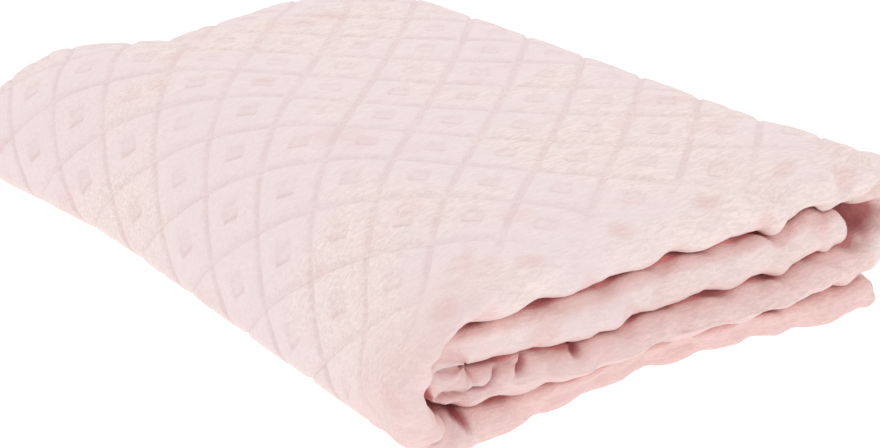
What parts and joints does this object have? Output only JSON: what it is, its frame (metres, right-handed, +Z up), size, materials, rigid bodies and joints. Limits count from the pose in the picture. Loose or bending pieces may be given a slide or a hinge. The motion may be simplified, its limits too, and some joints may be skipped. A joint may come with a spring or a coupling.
{
  "type": "folded embossed throw",
  "caption": "Soft fleece throw with an embossed diamond lattice, folded lengthwise and rolled flat into a low rectangular pile.",
  "frame": {"origin": "middle of the bounding box, on the surface that the throw rests on", "axes": "+X across the folds, away from the rounded spine, +Y along the folds, away from the end that shows the layers, +Z up"},
  "size_m": [0.3314, 0.4636, 0.0854],
  "materials": {
    "fleece": "matt short-pile fleece, pale blush pink, embossed"
  },
  "bodies": {
    "root": {"throw": "fleece"}
  },
  "joints": []
}
